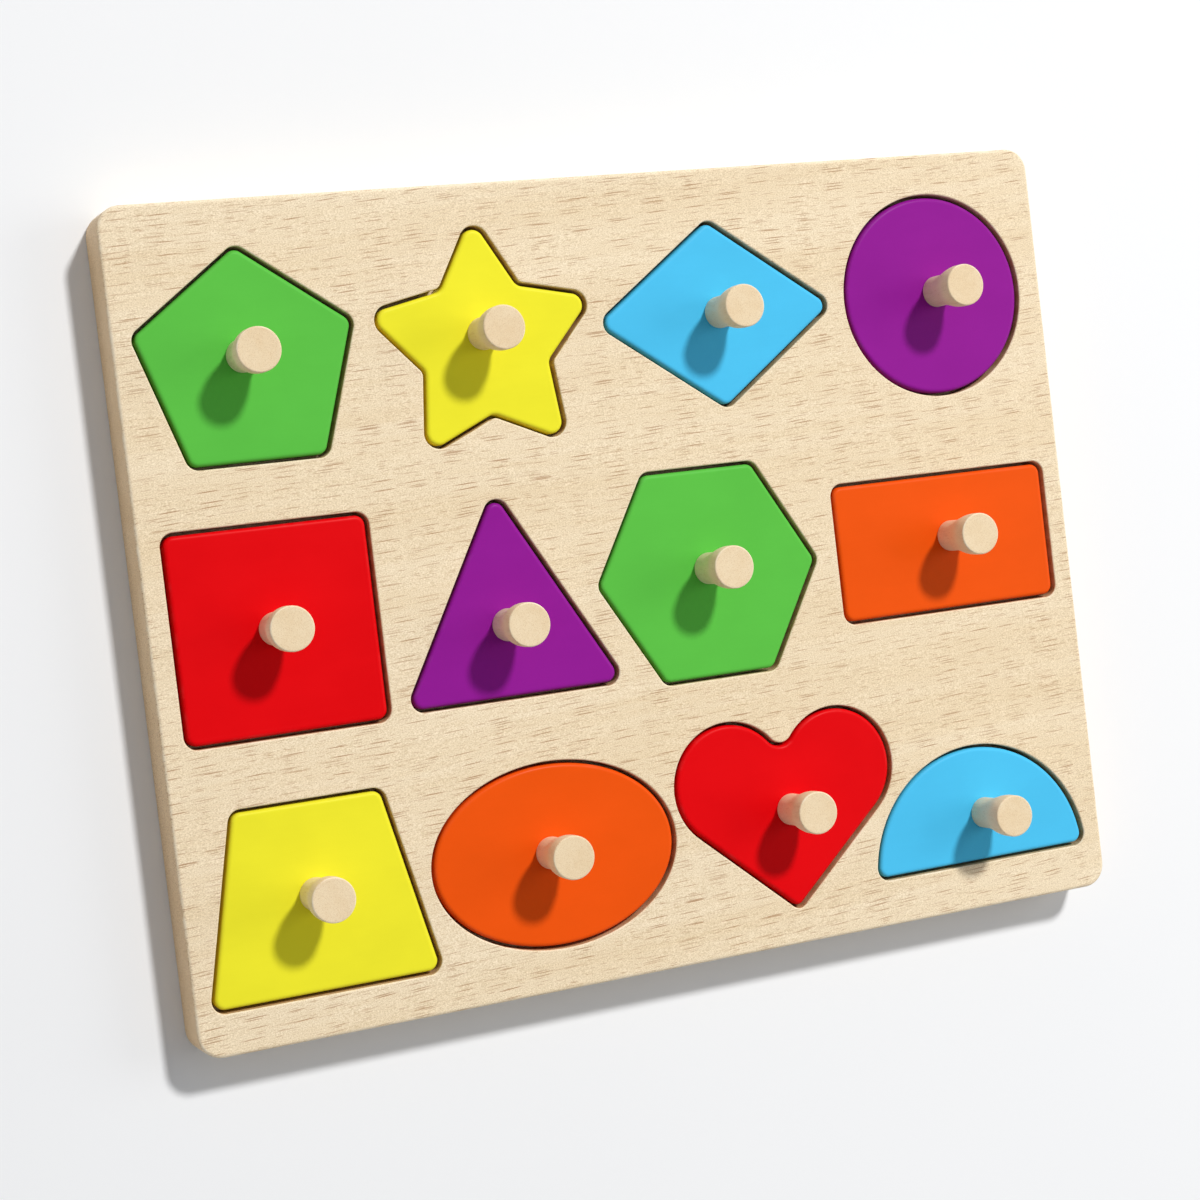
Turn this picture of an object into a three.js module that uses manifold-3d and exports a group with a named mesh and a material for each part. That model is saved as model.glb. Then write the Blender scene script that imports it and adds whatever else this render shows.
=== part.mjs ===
// Wooden shape puzzle: a routed beech board holding twelve painted blocks, each lifted out by a turned peg.
// Sizes are in millimetres. The board lies on its back: +X runs along its long side, +Y towards its
// upper edge and +Z out of its face. The origin is the middle of the board's back.
import * as THREE from "three";
import { mergeVertices } from "three/addons/utils/BufferGeometryUtils.js";
import Module from "manifold-3d";

const wasm = await Module();
wasm.setup();

// Board
const BOARD_THICKNESS = 16;
const BOARD_CORNER_RADIUS = 7;
const BOARD_EDGE_ROUND = 1;
const LEFT_MARGIN = 6.2; // from the board's left edge to where the rows start
const RIGHT_MARGIN = 7.1; // from the end of the longest row to the board's right edge
const TOP_MARGIN = 13.5; // from the upper row to the board's upper edge
const BOTTOM_MARGIN = 11.9; // from the lower row to the board's lower edge
const ROW_SPACE = 15.4; // between the tallest blocks of neighbouring rows

// Blocks and the pockets that hold them
const BLOCK_THICKNESS = 8;
const BLOCK_EDGE_ROUND = 1.2;
const BLOCK_RECESS = 0.5; // from the board's face down to a block's top
const BLOCK_CORNER_RADIUS = 3;
const POCKET_GAP = 1; // all round a block

// Outlines of the blocks, measured before their corners are rounded
const PENTAGON_RADIUS = 33.2;
const STAR_POINTS = 5;
const STAR_POINT_RADIUS = 37.2;
const STAR_INNER_RADIUS = 20.3;
const STAR_POINT_ROUND = 3.6;
const STAR_NOSE_RADIUS = 2.6; // of the pocket's wall, where it juts in between two points
const RHOMBUS_LENGTH = 77.8;
const RHOMBUS_HEIGHT = 55.8;
const CIRCLE_DIAMETER = 61.3;
const SQUARE_SIDE = 58.8;
const TRIANGLE_BASE = 67.9;
const TRIANGLE_HEIGHT = 59.8;
const HEXAGON_RADIUS = 36.1;
const RECTANGLE_LENGTH = 75.3;
const RECTANGLE_HEIGHT = 41.8;
const TRAPEZOID_BASE = 67.6;
const TRAPEZOID_TOP = 43.6;
const TRAPEZOID_HEIGHT = 54;
const OVAL_LENGTH = 75.8;
const OVAL_HEIGHT = 53.3;
const HEART_LOBE_RADIUS = 18.2;
const HEART_LOBE_OFFSET = 18.2; // of each lobe's centre from the heart's middle line
const HEART_NOSE_RADIUS = 4.2; // of the pocket's wall, where it juts in between the lobes
const HEART_POINT_DEPTH = 40.4; // of the heart's point below the lobes' centres
const HEART_POINT_ROUND = 2;
const HEART_RISE = 0.8; // of the heart's middle above its row's line
const SEMICIRCLE_RADIUS = 37.3;
const SEMICIRCLE_FLAT_RISE = 1.8; // of the flat side above the round side's centre
const SEMICIRCLE_DROP = 7.3; // of the half disc's middle below its row's line

// Spaces along a row, between the upright sides of the boxes that just hold two neighbours.
// A space is below zero where slanted or round sides lie one over the other.
const START_TO_PENTAGON = 0.6;
const PENTAGON_TO_STAR = 8.4;
const STAR_TO_RHOMBUS = 6.7;
const RHOMBUS_TO_CIRCLE = 8.2;
const START_TO_SQUARE = 1.3;
const SQUARE_TO_TRIANGLE = 8.1;
const TRIANGLE_TO_HEXAGON = -1.4;
const HEXAGON_TO_RECTANGLE = 9.3;
const TRAPEZOID_TO_OVAL = 2.1;
const OVAL_TO_HEART = 3.1;
const HEART_TO_SEMICIRCLE = -7.1;

// Pegs, with a tenon glued into a blind hole in the block
const PEG_HEIGHT = 18;
const PEG_HEAD_DIAMETER = 12.8;
const PEG_STEM_DIAMETER = 9.6;
const PEG_STEM_LENGTH = 4.5; // the straight stretch under the flare
const PEG_BAND_HEIGHT = 3; // the upright side of the head
const PEG_RIM_ROUND = 0.5;
const PEG_SHOULDER = 1.6; // width of the ring that rests on the block
const TENON_GLUE_GAP = 0.15; // round the tenon
const TENON_END_GAP = 0.4; // below the tenon
const BLOCK_WEB = 1.6; // wood left under the tenon's hole

// Places of the pegs, to the right of and above the middle of the box that just holds their block
const PEG_PLACES = {
  pentagon: [-1.3, 0],
  star: [-0.5, 0.3],
  rhombus: [0.8, 0.5],
  circle: [1.5, 1],
  square: [-0.6, 0.3],
  triangle: [-0.5, -7.4],
  hexagon: [0, 1.3],
  rectangle: [2.4, 1.6],
  trapezoid: [-0.6, 0.8],
  oval: [-1.4, 0.8],
  heart: [0.9, 0.5],
  semicircle: [2.3, -3],
};

// Smoothness: three.js cuts an arc into twice as many straight steps
const CORNER_STEPS = 2;
const LOBE_STEPS = 8;
const ROUND_STEPS = 24;
const EDGE_STEPS = 1;
const PEG_SIDES = 20;
const FLARE_STEPS = 6;
const CUT_OVERRUN = 1; // how far a cutter runs out past the face it cuts

// Wood and paint
const BEECH = 0xe8cfa6;
const GREEN = 0x5fc04e;
const YELLOW = 0xf0e93e;
const BLUE = 0x57c3f2;
const PURPLE = 0x98299c;
const RED = 0xe20d16;
const ORANGE = 0xf45f1d;
const WOOD_ROUGHNESS = 0.6;
const PAINT_ROUGHNESS = 0.42;

// Colour on wood, in a finish of the given roughness
function finish(color, roughness) {
  return new THREE.MeshStandardMaterial({ color, roughness, metalness: 0 });
}

// Solids: a closed geometry becomes a solid that can be cut, and a solid becomes a geometry again

function solidOf(geometry) {
  geometry.deleteAttribute("normal");
  geometry.deleteAttribute("uv");
  const merged = mergeVertices(geometry);
  const corners = merged.index.array;
  const triVerts = [];
  for (let i = 0; i < corners.length; i += 3) {
    const [a, b, c] = [corners[i], corners[i + 1], corners[i + 2]];
    if (a !== b && b !== c && c !== a) triVerts.push(a, b, c);
  }
  const vertProperties = merged.attributes.position.array;
  return new wasm.Manifold(
    new wasm.Mesh({ numProp: 3, vertProperties, triVerts: new Uint32Array(triVerts) }),
  );
}

function geometryOf(solid) {
  const { vertProperties, triVerts } = solid.getMesh();
  const geometry = new THREE.BufferGeometry();
  geometry.setAttribute("position", new THREE.BufferAttribute(vertProperties, 3));
  geometry.setIndex(new THREE.BufferAttribute(triVerts, 1));
  geometry.computeVertexNormals();
  return geometry;
}

function piece(name, solid, material) {
  const mesh = new THREE.Mesh(geometryOf(solid), material);
  mesh.name = name;
  return mesh;
}

// A slab standing on z = 0, with both its edges rounded inside the outline
function roundedSlab(outline, thickness, edgeRound, curveSegments) {
  const slab = new THREE.ExtrudeGeometry(outline, {
    depth: thickness - 2 * edgeRound,
    curveSegments,
    bevelThickness: edgeRound,
    bevelSize: edgeRound,
    bevelOffset: -edgeRound,
    bevelSegments: EDGE_STEPS,
  });
  return slab.translate(0, 0, edgeRound);
}

// Outlines. Each takes how far it grows on all sides: nothing for a block, the gap for its pocket.

// Corners listed anticlockwise as [x, y, radius], with the sides moved out by grow. A corner that
// juts in keeps its radius for the pocket, and is rounder by the gap on the block.
function roundedPolygon(corners, grow) {
  const outline = new THREE.Shape();
  const count = corners.length;
  corners.forEach(([x, y, radius], i) => {
    const [fromX, fromY] = corners[(i + count - 1) % count];
    const [toX, toY] = corners[(i + 1) % count];
    const into = new THREE.Vector2(x - fromX, y - fromY).normalize();
    const out = new THREE.Vector2(toX - x, toY - y).normalize();
    const bulges = into.cross(out) > 0;
    const side = bulges ? 1 : -1;
    const round = bulges ? radius + grow : radius + POCKET_GAP - grow;
    // The sum of the two sides' normals points along the corner's middle line.
    const normals = new THREE.Vector2(into.y + out.y, -into.x - out.x);
    const reach = (grow - side * round) / (1 + into.dot(out));
    const centre = new THREE.Vector2(x, y).addScaledVector(normals, reach);
    const start = Math.atan2(-into.x * side, into.y * side);
    const end = Math.atan2(-out.x * side, out.y * side);
    outline.absarc(centre.x, centre.y, round, start, end, !bulges);
  });
  outline.closePath();
  return outline;
}

// A regular polygon's corners, the first one at the given angle
function regularCorners(count, radius, firstAngle) {
  return Array.from({ length: count }, (_, i) => {
    const angle = firstAngle + (2 * Math.PI * i) / count;
    return [radius * Math.cos(angle), radius * Math.sin(angle), BLOCK_CORNER_RADIUS];
  });
}

// A rectangle's corners
function boxCorners(length, height, radius) {
  const [x, y] = [length / 2, height / 2];
  return [
    [-x, -y, radius],
    [x, -y, radius],
    [x, y, radius],
    [-x, y, radius],
  ];
}

function pentagonOutline(grow) {
  return roundedPolygon(regularCorners(5, PENTAGON_RADIUS, Math.PI / 2), grow);
}

function starOutline(grow) {
  const corners = Array.from({ length: 2 * STAR_POINTS }, (_, i) => {
    const isPoint = i % 2 === 0;
    const radius = isPoint ? STAR_POINT_RADIUS : STAR_INNER_RADIUS;
    const angle = Math.PI / 2 + (Math.PI * i) / STAR_POINTS;
    const round = isPoint ? STAR_POINT_ROUND : STAR_NOSE_RADIUS;
    return [radius * Math.cos(angle), radius * Math.sin(angle), round];
  });
  return roundedPolygon(corners, grow);
}

function rhombusOutline(grow) {
  const corners = [
    [RHOMBUS_LENGTH / 2, 0, BLOCK_CORNER_RADIUS],
    [0, RHOMBUS_HEIGHT / 2, BLOCK_CORNER_RADIUS],
    [-RHOMBUS_LENGTH / 2, 0, BLOCK_CORNER_RADIUS],
    [0, -RHOMBUS_HEIGHT / 2, BLOCK_CORNER_RADIUS],
  ];
  return roundedPolygon(corners, grow);
}

function circleOutline(grow) {
  return new THREE.Shape().absarc(0, 0, CIRCLE_DIAMETER / 2 + grow, 0, 2 * Math.PI);
}

function squareOutline(grow) {
  return roundedPolygon(boxCorners(SQUARE_SIDE, SQUARE_SIDE, BLOCK_CORNER_RADIUS), grow);
}

function triangleOutline(grow) {
  const corners = [
    [-TRIANGLE_BASE / 2, 0, BLOCK_CORNER_RADIUS],
    [TRIANGLE_BASE / 2, 0, BLOCK_CORNER_RADIUS],
    [0, TRIANGLE_HEIGHT, BLOCK_CORNER_RADIUS],
  ];
  return roundedPolygon(corners, grow);
}

function hexagonOutline(grow) {
  return roundedPolygon(regularCorners(6, HEXAGON_RADIUS, 0), grow);
}

function rectangleOutline(grow) {
  const corners = boxCorners(RECTANGLE_LENGTH, RECTANGLE_HEIGHT, BLOCK_CORNER_RADIUS);
  return roundedPolygon(corners, grow);
}

function trapezoidOutline(grow) {
  const corners = [
    [-TRAPEZOID_BASE / 2, 0, BLOCK_CORNER_RADIUS],
    [TRAPEZOID_BASE / 2, 0, BLOCK_CORNER_RADIUS],
    [TRAPEZOID_TOP / 2, TRAPEZOID_HEIGHT, BLOCK_CORNER_RADIUS],
    [-TRAPEZOID_TOP / 2, TRAPEZOID_HEIGHT, BLOCK_CORNER_RADIUS],
  ];
  return roundedPolygon(corners, grow);
}

function ovalOutline(grow) {
  const [halfLength, halfHeight] = [OVAL_LENGTH / 2 + grow, OVAL_HEIGHT / 2 + grow];
  return new THREE.Shape().absellipse(0, 0, halfLength, halfHeight, 0, 2 * Math.PI);
}

// Two round lobes, a rounded dip between them, and straight sides that touch the lobes and meet in a point
function heartOutline(grow) {
  const lean = Math.atan2(HEART_LOBE_OFFSET, HEART_POINT_DEPTH);
  const reach = Math.hypot(HEART_LOBE_OFFSET, HEART_POINT_DEPTH);
  const slope = lean + Math.asin(HEART_LOBE_RADIUS / reach); // of a side, from upright
  const lobe = HEART_LOBE_RADIUS + grow;
  const dip = HEART_NOSE_RADIUS + POCKET_GAP - grow;
  const dipTurn = Math.PI - Math.acos(HEART_LOBE_OFFSET / (lobe + dip));
  const dipHeight = Math.sqrt((lobe + dip) ** 2 - HEART_LOBE_OFFSET ** 2);
  const point = HEART_POINT_ROUND + grow;
  const pointHeight = HEART_POINT_ROUND / Math.sin(slope) - HEART_POINT_DEPTH;
  const outline = new THREE.Shape();
  outline.absarc(HEART_LOBE_OFFSET, 0, lobe, -slope, dipTurn, false);
  outline.absarc(0, dipHeight, dip, dipTurn - Math.PI, -dipTurn, true);
  outline.absarc(-HEART_LOBE_OFFSET, 0, lobe, Math.PI - dipTurn, Math.PI + slope, false);
  outline.absarc(0, pointHeight, point, Math.PI + slope, 2 * Math.PI - slope, false);
  outline.closePath();
  return outline;
}

// The upper part of a disc above a flat side, with both corners rounded
function semicircleOutline(grow) {
  const round = BLOCK_CORNER_RADIUS + grow;
  const cornerY = SEMICIRCLE_FLAT_RISE + BLOCK_CORNER_RADIUS;
  const cornerReach = SEMICIRCLE_RADIUS - BLOCK_CORNER_RADIUS;
  const cornerX = Math.sqrt(cornerReach ** 2 - cornerY ** 2);
  const turn = Math.atan2(cornerY, cornerX);
  const outline = new THREE.Shape();
  outline.absarc(0, 0, SEMICIRCLE_RADIUS + grow, turn, Math.PI - turn, false);
  outline.absarc(-cornerX, cornerY, round, Math.PI - turn, 1.5 * Math.PI, false);
  outline.absarc(cornerX, cornerY, round, -Math.PI / 2, turn, false);
  outline.closePath();
  return outline;
}

// The puzzle's blocks, row by row from the upper edge and from the left. space is the gap to the
// block before, or to the row's start, and drop lowers a block below its row's line.
const ROWS = [
  [
    { name: "pentagon", outline: pentagonOutline, color: GREEN, space: START_TO_PENTAGON },
    { name: "star", outline: starOutline, color: YELLOW, space: PENTAGON_TO_STAR },
    { name: "rhombus", outline: rhombusOutline, color: BLUE, space: STAR_TO_RHOMBUS },
    {
      name: "circle",
      outline: circleOutline,
      color: PURPLE,
      space: RHOMBUS_TO_CIRCLE,
      steps: ROUND_STEPS,
    },
  ],
  [
    { name: "square", outline: squareOutline, color: RED, space: START_TO_SQUARE },
    { name: "triangle", outline: triangleOutline, color: PURPLE, space: SQUARE_TO_TRIANGLE },
    { name: "hexagon", outline: hexagonOutline, color: GREEN, space: TRIANGLE_TO_HEXAGON },
    { name: "rectangle", outline: rectangleOutline, color: ORANGE, space: HEXAGON_TO_RECTANGLE },
  ],
  [
    { name: "trapezoid", outline: trapezoidOutline, color: YELLOW },
    {
      name: "oval",
      outline: ovalOutline,
      color: ORANGE,
      space: TRAPEZOID_TO_OVAL,
      steps: ROUND_STEPS,
    },
    {
      name: "heart",
      outline: heartOutline,
      color: RED,
      space: OVAL_TO_HEART,
      steps: LOBE_STEPS,
      drop: -HEART_RISE,
    },
    {
      name: "semicircle",
      outline: semicircleOutline,
      color: BLUE,
      space: HEART_TO_SEMICIRCLE,
      steps: LOBE_STEPS,
      drop: SEMICIRCLE_DROP,
    },
  ],
];

// Layout: each row starts at the left margin, and the board is as long as its longest row needs and
// as high as its three rows need. left is a block's distance from the margin.

function measureRow(row) {
  const measured = { blocks: [], length: 0, up: 0, down: 0 };
  for (const { space = 0, drop = 0, steps = CORNER_STEPS, ...block } of row) {
    const box = new THREE.Box2().setFromPoints(block.outline(0).getPoints(steps));
    const size = box.getSize(new THREE.Vector2());
    const middle = box.getCenter(new THREE.Vector2());
    const left = measured.length + space;
    measured.blocks.push({ ...block, steps, drop, middle, left, halfLength: size.x / 2 });
    measured.length = left + size.x;
    measured.up = Math.max(measured.up, size.y / 2 - drop);
    measured.down = Math.max(measured.down, size.y / 2 + drop);
  }
  return measured;
}

const rows = ROWS.map(measureRow);
const longestRow = Math.max(...rows.map((row) => row.length));
const boardLength = LEFT_MARGIN + longestRow + RIGHT_MARGIN;
const rowHeights = rows.reduce((sum, row) => sum + row.up + row.down, 0);
const rowSpaces = (rows.length - 1) * ROW_SPACE;
const boardHeight = TOP_MARGIN + rowHeights + rowSpaces + BOTTOM_MARGIN;

// Moves each block's outline from its own origin to its place on the board
let rowTop = boardHeight / 2 - TOP_MARGIN;
for (const row of rows) {
  const line = rowTop - row.up;
  for (const block of row.blocks) {
    const [pegRight, pegUp] = PEG_PLACES[block.name];
    const x = LEFT_MARGIN + block.left + block.halfLength - boardLength / 2;
    const y = line - block.drop;
    block.place = new THREE.Vector2(x, y).sub(block.middle);
    block.peg = new THREE.Vector2(x + pegRight, y + pegUp);
  }
  rowTop = line - row.down - ROW_SPACE;
}
const blocks = rows.flatMap((row) => row.blocks);

// Heights: the pocket's floor carries the block, and the block's top carries the peg
const pocketFloor = BOARD_THICKNESS - BLOCK_RECESS - BLOCK_THICKNESS;
const blockTop = pocketFloor + BLOCK_THICKNESS;
const tenonRadius = PEG_STEM_DIAMETER / 2 - PEG_SHOULDER;
const tenonHoleDepth = BLOCK_THICKNESS - BLOCK_WEB;
const tenonLength = tenonHoleDepth - TENON_END_GAP;

// The board, with a pocket for each block
function makeBoard() {
  const outline = roundedPolygon(boxCorners(boardLength, boardHeight, BOARD_CORNER_RADIUS), 0);
  let board = solidOf(roundedSlab(outline, BOARD_THICKNESS, BOARD_EDGE_ROUND, CORNER_STEPS));
  for (const { outline: blockOutline, steps, place } of blocks) {
    const pocket = new THREE.ExtrudeGeometry(blockOutline(POCKET_GAP), {
      depth: BOARD_THICKNESS - pocketFloor + CUT_OVERRUN,
      curveSegments: steps,
      bevelEnabled: false,
    });
    board = board.subtract(solidOf(pocket.translate(place.x, place.y, pocketFloor)));
  }
  return piece("board", board, finish(BEECH, WOOD_ROUGHNESS));
}

// A painted block, drilled from above for its peg
function makeBlock({ name, outline, color, steps, place, peg }) {
  const slab = roundedSlab(outline(0), BLOCK_THICKNESS, BLOCK_EDGE_ROUND, steps);
  const holeRadius = tenonRadius + TENON_GLUE_GAP;
  const holeLength = tenonHoleDepth + CUT_OVERRUN;
  const hole = new THREE.CylinderGeometry(holeRadius, holeRadius, holeLength, PEG_SIDES);
  hole.rotateX(Math.PI / 2);
  hole.translate(peg.x, peg.y, blockTop - tenonHoleDepth + holeLength / 2);
  const block = solidOf(slab.translate(place.x, place.y, pocketFloor)).subtract(solidOf(hole));
  return piece(name + "_block", block, finish(color, PAINT_ROUGHNESS));
}

// A turned peg. Its side goes straight up, flares out along half a cosine wave, and ends in a flat
// head with an upright band and a rounded rim.
function makePeg({ name, peg }) {
  const stem = PEG_STEM_DIAMETER / 2;
  const head = PEG_HEAD_DIAMETER / 2;
  const flareHeight = PEG_HEIGHT - PEG_BAND_HEIGHT - PEG_STEM_LENGTH;
  const profile = [
    new THREE.Vector2(0, -tenonLength),
    new THREE.Vector2(tenonRadius, -tenonLength),
    new THREE.Vector2(tenonRadius, 0),
    new THREE.Vector2(stem, 0),
  ];
  for (let i = 0; i <= FLARE_STEPS; i++) {
    const rise = i / FLARE_STEPS;
    const widening = (1 - Math.cos(Math.PI * rise)) / 2;
    const radius = stem + (head - stem) * widening;
    profile.push(new THREE.Vector2(radius, PEG_STEM_LENGTH + flareHeight * rise));
  }
  profile.push(
    new THREE.Vector2(head, PEG_HEIGHT - PEG_RIM_ROUND),
    new THREE.Vector2(head - PEG_RIM_ROUND, PEG_HEIGHT),
    new THREE.Vector2(0, PEG_HEIGHT),
  );
  const turned = new THREE.LatheGeometry(profile, PEG_SIDES).rotateX(Math.PI / 2);
  turned.translate(peg.x, peg.y, blockTop);
  return piece(name + "_peg", solidOf(turned), finish(BEECH, WOOD_ROUGHNESS));
}

const puzzle = new THREE.Group();
puzzle.name = "shape_puzzle";
puzzle.add(makeBoard());
for (const block of blocks) {
  puzzle.add(makeBlock(block), makePeg(block));
}

export default puzzle;
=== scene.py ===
"""Wooden shape puzzle: a routed beech board, twelve painted blocks and their turned pegs."""

import math

import bpy
import numpy as np
from mathutils import Matrix, Vector
from mathutils.geometry import delaunay_2d_cdt


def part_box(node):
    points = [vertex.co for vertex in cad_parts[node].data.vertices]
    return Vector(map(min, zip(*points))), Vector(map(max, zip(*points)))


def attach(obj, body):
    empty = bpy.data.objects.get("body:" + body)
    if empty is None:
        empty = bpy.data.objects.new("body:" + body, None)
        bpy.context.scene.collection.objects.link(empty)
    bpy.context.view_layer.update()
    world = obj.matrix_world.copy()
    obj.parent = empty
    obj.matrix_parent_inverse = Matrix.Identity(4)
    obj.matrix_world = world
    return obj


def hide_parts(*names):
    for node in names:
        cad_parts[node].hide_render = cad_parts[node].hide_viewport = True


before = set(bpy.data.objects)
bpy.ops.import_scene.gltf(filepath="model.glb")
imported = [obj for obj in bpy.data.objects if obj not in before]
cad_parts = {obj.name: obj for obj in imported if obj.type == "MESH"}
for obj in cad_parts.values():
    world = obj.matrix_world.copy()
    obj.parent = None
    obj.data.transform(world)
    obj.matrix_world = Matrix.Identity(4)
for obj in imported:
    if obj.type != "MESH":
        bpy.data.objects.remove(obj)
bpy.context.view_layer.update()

MM = 0.001

# Blocks and pockets, in millimetres
BLOCK_EDGE_ROUND = 1.2
BLOCK_CORNER_RADIUS = 3.0
POCKET_GAP = 1.0
POCKET_LIP_ROUND = 0.5
POCKET_LIP_LEAD = 0.1
POCKET_FOOT_ROUND = 0.5
FLAT_LEAD = 0.35

# Fineness of the surfaces: CORNER_PULL is how many millimetres of length one radian of turn counts as
OUTLINE_POINTS = 384
CORNER_PULL = 6.0
ARC_STEPS = 48
OVAL_STEPS = 384
PEG_SIDES = 72
FLARE_STEPS = 18
ROUND_STEPS = 6
SHARP_ANGLE = 40.0
FILL_CLOSENESS = 1e-6

# Outlines of the blocks, before their corners are rounded
PENTAGON_CORNERS = 5
PENTAGON_RADIUS = 33.2
STAR_POINTS = 5
STAR_POINT_RADIUS = 37.2
STAR_INNER_RADIUS = 20.3
STAR_POINT_ROUND = 3.6
STAR_NOSE_RADIUS = 2.6
RHOMBUS_LENGTH = 77.8
RHOMBUS_HEIGHT = 55.8
CIRCLE_DIAMETER = 61.3
SQUARE_SIDE = 58.8
TRIANGLE_BASE = 67.9
TRIANGLE_HEIGHT = 59.8
HEXAGON_CORNERS = 6
HEXAGON_RADIUS = 36.1
RECTANGLE_LENGTH = 75.3
RECTANGLE_HEIGHT = 41.8
TRAPEZOID_BASE = 67.6
TRAPEZOID_TOP = 43.6
TRAPEZOID_HEIGHT = 54.0
OVAL_LENGTH = 75.8
OVAL_HEIGHT = 53.3
HEART_LOBE_RADIUS = 18.2
HEART_LOBE_OFFSET = 18.2
HEART_NOSE_RADIUS = 4.2
HEART_POINT_DEPTH = 40.4
HEART_POINT_ROUND = 2.0
SEMICIRCLE_RADIUS = 37.3
SEMICIRCLE_FLAT_RISE = 1.8

# Board
BOARD_CORNER_RADIUS = 7.0
BOARD_EDGE_ROUND = 1.0

# Pegs
PEG_HEIGHT = 18.0
PEG_HEAD_RADIUS = 6.4
PEG_STEM_RADIUS = 4.8
PEG_STEM_LENGTH = 4.5
PEG_BAND_HEIGHT = 3.0
PEG_RIM_ROUND = 0.45
PEG_FOOT_ROUND = 0.25
TENON_RADIUS = 3.2
TENON_LENGTH = 6.0
TENON_HOLE_RADIUS = 3.35
TENON_HOLE_DEPTH = 6.4

# Camera, fitted to the board's edges and the outlines of its blocks
CAMERA_PLACE = (-0.3002, 0.0212, 0.6993)
CAMERA_RIGHT = (0.9145, -0.1175, 0.3871)
CAMERA_UP = (0.1228, 0.9924, 0.0113)
CAMERA_LENS = 75.0
CAMERA_SENSOR = 36.0
CAMERA_NEAR = 0.01
CAMERA_FAR = 20.0

# Light
LAMP_DIRECTION = (0.316, 0.561, 0.764)
LAMP_DISTANCE = 5.0
LAMP_WIDTH = 0.58
LAMP_POWER = 196.0
LAMP_TINT = (1.0, 0.985, 0.955)
SIDE_LAMP_PLACE = (1.1, 0.1, 0.75)
SIDE_LAMP_WIDTH = 0.8
SIDE_LAMP_POWER = 3.0
SKY_STRENGTH = 0.30
SKY_TINT = (0.98, 0.99, 1.0, 1.0)

# Floor
FLOOR_REACH = 3.0
FLOOR_DIM = (0.91, 0.925, 0.955, 1.0)
FLOOR_PALE = (0.94, 0.955, 0.985, 1.0)
FLOOR_FADE = (0.32, 0.85)
FLOOR_CLOUDS = (3.0, 3.0, 3.0)
FLOOR_ROUGHNESS = 0.9
FLOOR_SHEEN = 0.1

# Colours as screen values up to 255, and tints that multiply a colour
BEECH_PALE = (243, 226, 197)
BEECH_DEEP = (232, 210, 174)
BEECH_FLECK = (168, 122, 82)
# The rubbed tones of board and peg lighten the edges and rims: wear and a painted highlight
BEECH_RUBBED_HIGHLIGHT = (249, 236, 212)
BEECH_END = (0.90, 0.79, 0.67, 1.0)
PEG_PALE = (245, 227, 195)
PEG_DEEP = (233, 208, 169)
PEG_FLECK = (206, 170, 126)
PEG_RUBBED_HIGHLIGHT = (252, 241, 218)
PEG_END = (0.97, 0.95, 0.93, 1.0)
PAINTS = {
    "green": (93, 194, 72),
    "yellow": (241, 235, 48),
    "blue": (78, 196, 245),
    "purple": (146, 26, 150),
    "red": (228, 3, 12),
    "orange": (240, 86, 12),
}
WHITE = (1.0, 1.0, 1.0, 1.0)

# Patterns in the finishes, in cycles per metre along the grain and across it
GRAIN_SWAY = (9.0, 22.0, 22.0)
GRAIN_BANDS = (4.0, 60.0, 60.0)
GRAIN_STREAKS = (14.0, 520.0, 520.0)
GRAIN_FIBRES = (150.0, 1900.0, 1900.0)
GRAIN_STIPPLE = (2200.0, 3600.0, 3600.0)
LONG_FLECKS = (80.0, 1900.0, 1900.0)
SHORT_FLECKS = (190.0, 2300.0, 2300.0)
RUBBED_HIGHLIGHT_PATCHES = (160.0, 160.0, 160.0)
PAINT_CLOUDS = (38.0, 60.0, 60.0)
PAINT_GRAIN = (60.0, 900.0, 900.0)
PAINT_ROLLER = (2400.0, 2400.0, 2400.0)
NOISE_MIDDLE = 0.5

# How strong the patterns are: the sway in metres, the slant in degrees, flecks' widths as shares of their
# cells, the others as shares of full tone
SWAY_ACROSS = 0.005
SWAY_UP = 0.003
GRAIN_SLANT = 3.0
BANDS_SHARE = 0.42
STREAKS_SHARE = 0.20
FIBRES_SHARE = 0.38
LONG_FLECK_WIDTH = 0.40
LONG_FLECKS_KEPT = 0.80
SHORT_FLECK_WIDTH = 0.36
SHORT_FLECKS_KEPT = 0.70
SHORT_FLECK_SHARE = 0.75
FLECK_CORE = 0.45
# Share of the rubbed tone on beech edges, which is wear and a painted highlight
RUBBED_WOOD_HIGHLIGHT = 0.75
RUBBED_PAINT = 0.12
RUBBED_PAINT_KEPT = 0.85
RUBBED_PAINT_LIFT = 0.12
PAINT_CLOUDINESS = 0.7
PAINT_SPREAD = 0.03
STIPPLE_DEPTH = (0.24, 0.28, 0.36)
BOARD_STIPPLE = 1.0
PEG_STIPPLE = 0.35
BOARD_FLECKS = 0.78
PEG_FLECKS = 0.4

# Stretches of a pattern's or a facing's values that are spread from none to full
BANDS_STRETCH = (0.34, 0.68)
STREAKS_STRETCH = (0.36, 0.74)
STIPPLE_STRETCH = (0.2, 0.8)
MIDDLE_STRETCH = (0.3, 0.7)
RUBBED_HIGHLIGHT_STRETCH = (0.42, 0.72)
END_STRETCH = (0.55, 0.95)
WALL_STRETCH = (0.2, 0.7)

# Painted shade and cutter marks in pockets: shade tints of floor and wall; ridges' scale, bend, faintest
# share
# The floor and wall tints are painted shade that darkens the pockets
POCKET_FLOOR_SHADE = (0.90, 0.86, 0.80, 1.0)
POCKET_WALL_SHADE = (0.66, 0.51, 0.37, 1.0)
CUTTER_PITCH = 63.0
CUTTER_BEND = 2.5
CUTTER_BEND_SCALE = 0.4
CUTTER_FAINTEST = 0.75

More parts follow.
